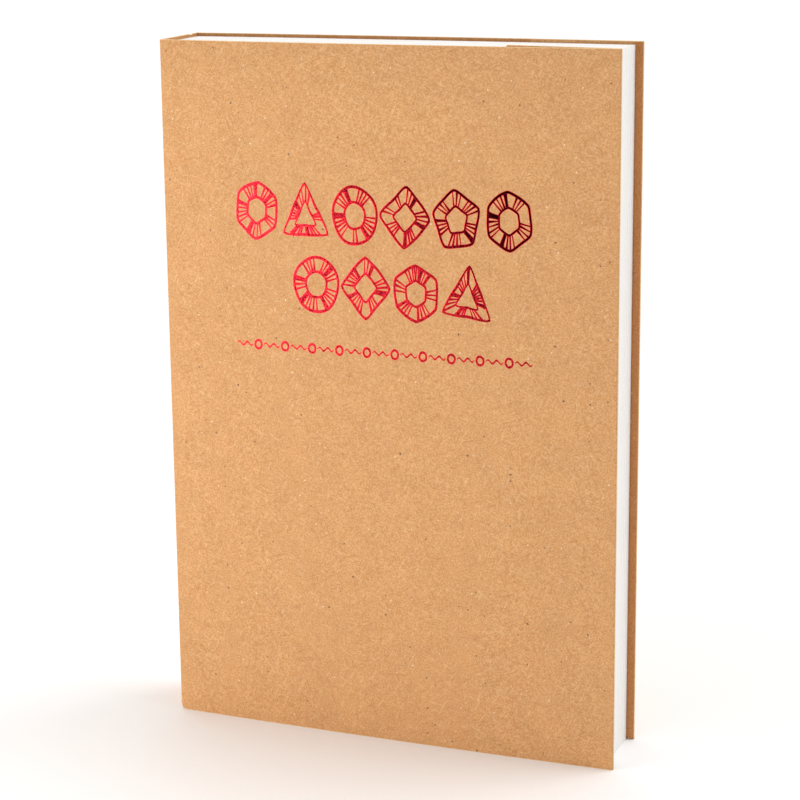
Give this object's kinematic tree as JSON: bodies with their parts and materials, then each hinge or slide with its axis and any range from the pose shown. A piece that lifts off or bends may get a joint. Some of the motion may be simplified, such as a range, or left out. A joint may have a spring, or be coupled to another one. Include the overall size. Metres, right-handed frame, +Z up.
{
  "type": "sketchbook",
  "caption": "Thick softcover sketchbook in a folded kraft-card cover with turned-in flaps, sewn sections of white drawing paper and a red foil ornament on the front.",
  "frame": {"origin": "centre of the book's footprint, on the surface that its tail edge stands on", "axes": "+Z up the spine from tail to head, +X from the spine to the fore-edge, +Y from the front cover to the back cover"},
  "size_m": [0.14, 0.025, 0.21],
  "materials": {
    "kraft_card": "uncoated kraft card, fine fibre mottling with dark and pale specks",
    "drawing_paper": "uncoated white drawing paper, matt, fine tooth",
    "glue": "clear yellowish set glue",
    "lining_gauze": "open-weave cotton gauze",
    "thread": "waxed white cotton thread",
    "red_foil": "hot-stamped metallic red foil, reads from bright pink-red to dark maroon as it catches the light"
  },
  "bodies": {
    "spine": {"spine_panel": "kraft_card", "spine_glue": "glue", "spine_lining": "lining_gauze", "sewing_threads": "thread"},
    "section_01": {"section_01": "drawing_paper"},
    "section_02": {"section_02": "drawing_paper"},
    "section_03": {"section_03": "drawing_paper"},
    "section_04": {"section_04": "drawing_paper"},
    "section_05": {"section_05": "drawing_paper"},
    "section_06": {"section_06": "drawing_paper"},
    "section_07": {"section_07": "drawing_paper"},
    "front_flyleaf": {"front_flyleaf": "drawing_paper"},
    "front_cover": {"front_cover": "kraft_card", "front_foil": "red_foil"},
    "front_flap": {"front_flap": "kraft_card"},
    "section_14": {"section_14": "drawing_paper"},
    "section_13": {"section_13": "drawing_paper"},
    "section_12": {"section_12": "drawing_paper"},
    "section_11": {"section_11": "drawing_paper"},
    "section_10": {"section_10": "drawing_paper"},
    "section_09": {"section_09": "drawing_paper"},
    "section_08": {"section_08": "drawing_paper"},
    "back_flyleaf": {"back_flyleaf": "drawing_paper"},
    "back_cover": {"back_cover": "kraft_card"},
    "back_flap": {"back_flap": "kraft_card"}
  },
  "joints": [
    {"name": "front_pages_turn", "type": "hinge", "parent": "spine", "child": "section_01", "pos_m": [-0.06975, -0.01225, 0.105], "axis": [0, 0, 1], "range_deg": [-90, 0]},
    {"name": "section_02_turn", "type": "hinge", "parent": "spine", "child": "section_02", "pos_m": [-0.06975, -0.01225, 0.105], "axis": [0, 0, 1], "range_deg": [-78, 0]},
    {"name": "section_03_turn", "type": "hinge", "parent": "spine", "child": "section_03", "pos_m": [-0.06975, -0.01225, 0.105], "axis": [0, 0, 1], "range_deg": [-65, 0]},
    {"name": "section_04_turn", "type": "hinge", "parent": "spine", "child": "section_04", "pos_m": [-0.06975, -0.01225, 0.105], "axis": [0, 0, 1], "range_deg": [-52, 0]},
    {"name": "section_05_turn", "type": "hinge", "parent": "spine", "child": "section_05", "pos_m": [-0.06975, -0.01225, 0.105], "axis": [0, 0, 1], "range_deg": [-40, 0]},
    {"name": "section_06_turn", "type": "hinge", "parent": "spine", "child": "section_06", "pos_m": [-0.06975, -0.01225, 0.105], "axis": [0, 0, 1], "range_deg": [-27, 0]},
    {"name": "section_07_turn", "type": "hinge", "parent": "spine", "child": "section_07", "pos_m": [-0.06975, -0.01225, 0.105], "axis": [0, 0, 1], "range_deg": [-14, 0]},
    {"name": "front_flyleaf_turn", "type": "hinge", "parent": "section_01", "child": "front_flyleaf", "pos_m": [-0.06975, -0.01225, 0.105], "axis": [0, 0, 1], "range_deg": [-85, 0]},
    {"name": "front_cover_hinge", "type": "hinge", "parent": "front_flyleaf", "child": "front_cover", "pos_m": [-0.06975, -0.01225, 0.105], "axis": [0, 0, -1], "range_deg": [0, 175]},
    {"name": "front_flap_fold", "type": "hinge", "parent": "front_cover", "child": "front_flap", "pos_m": [0.06947, -0.01197, 0.105], "axis": [0, 0, -1], "range_deg": [0, 180]},
    {"name": "back_pages_turn", "type": "hinge", "parent": "spine", "child": "section_14", "pos_m": [-0.06975, 0.01225, 0.105], "axis": [0, 0, -1], "range_deg": [-90, 0]},
    {"name": "section_13_turn", "type": "hinge", "parent": "spine", "child": "section_13", "pos_m": [-0.06975, 0.01225, 0.105], "axis": [0, 0, -1], "range_deg": [-78, 0]},
    {"name": "section_12_turn", "type": "hinge", "parent": "spine", "child": "section_12", "pos_m": [-0.06975, 0.01225, 0.105], "axis": [0, 0, -1], "range_deg": [-65, 0]},
    {"name": "section_11_turn", "type": "hinge", "parent": "spine", "child": "section_11", "pos_m": [-0.06975, 0.01225, 0.105], "axis": [0, 0, -1], "range_deg": [-52, 0]},
    {"name": "section_10_turn", "type": "hinge", "parent": "spine", "child": "section_10", "pos_m": [-0.06975, 0.01225, 0.105], "axis": [0, 0, -1], "range_deg": [-40, 0]},
    {"name": "section_09_turn", "type": "hinge", "parent": "spine", "child": "section_09", "pos_m": [-0.06975, 0.01225, 0.105], "axis": [0, 0, -1], "range_deg": [-27, 0]},
    {"name": "section_08_turn", "type": "hinge", "parent": "spine", "child": "section_08", "pos_m": [-0.06975, 0.01225, 0.105], "axis": [0, 0, -1], "range_deg": [-14, 0]},
    {"name": "back_flyleaf_turn", "type": "hinge", "parent": "section_14", "child": "back_flyleaf", "pos_m": [-0.06975, 0.01225, 0.105], "axis": [0, 0, -1], "range_deg": [-85, 0]},
    {"name": "back_cover_hinge", "type": "hinge", "parent": "back_flyleaf", "child": "back_cover", "pos_m": [-0.06975, 0.01225, 0.105], "axis": [0, 0, 1], "range_deg": [0, 175]},
    {"name": "back_flap_fold", "type": "hinge", "parent": "back_cover", "child": "back_flap", "pos_m": [0.06947, 0.01197, 0.105], "axis": [0, 0, 1], "range_deg": [0, 180]}
  ],
  "couplings": [
    {"joint": "section_02_turn", "follows": "front_pages_turn", "ratio": 0.85714},
    {"joint": "section_03_turn", "follows": "front_pages_turn", "ratio": 0.71429},
    {"joint": "section_04_turn", "follows": "front_pages_turn", "ratio": 0.57143},
    {"joint": "section_05_turn", "follows": "front_pages_turn", "ratio": 0.42857},
    {"joint": "section_06_turn", "follows": "front_pages_turn", "ratio": 0.28571},
    {"joint": "section_07_turn", "follows": "front_pages_turn", "ratio": 0.14286},
    {"joint": "front_flap_fold", "follows": "front_cover_hinge", "ratio": 1},
    {"joint": "section_13_turn", "follows": "back_pages_turn", "ratio": 0.85714},
    {"joint": "section_12_turn", "follows": "back_pages_turn", "ratio": 0.71429},
    {"joint": "section_11_turn", "follows": "back_pages_turn", "ratio": 0.57143},
    {"joint": "section_10_turn", "follows": "back_pages_turn", "ratio": 0.42857},
    {"joint": "section_09_turn", "follows": "back_pages_turn", "ratio": 0.28571},
    {"joint": "section_08_turn", "follows": "back_pages_turn", "ratio": 0.14286},
    {"joint": "back_flap_fold", "follows": "back_cover_hinge", "ratio": 1}
  ]
}
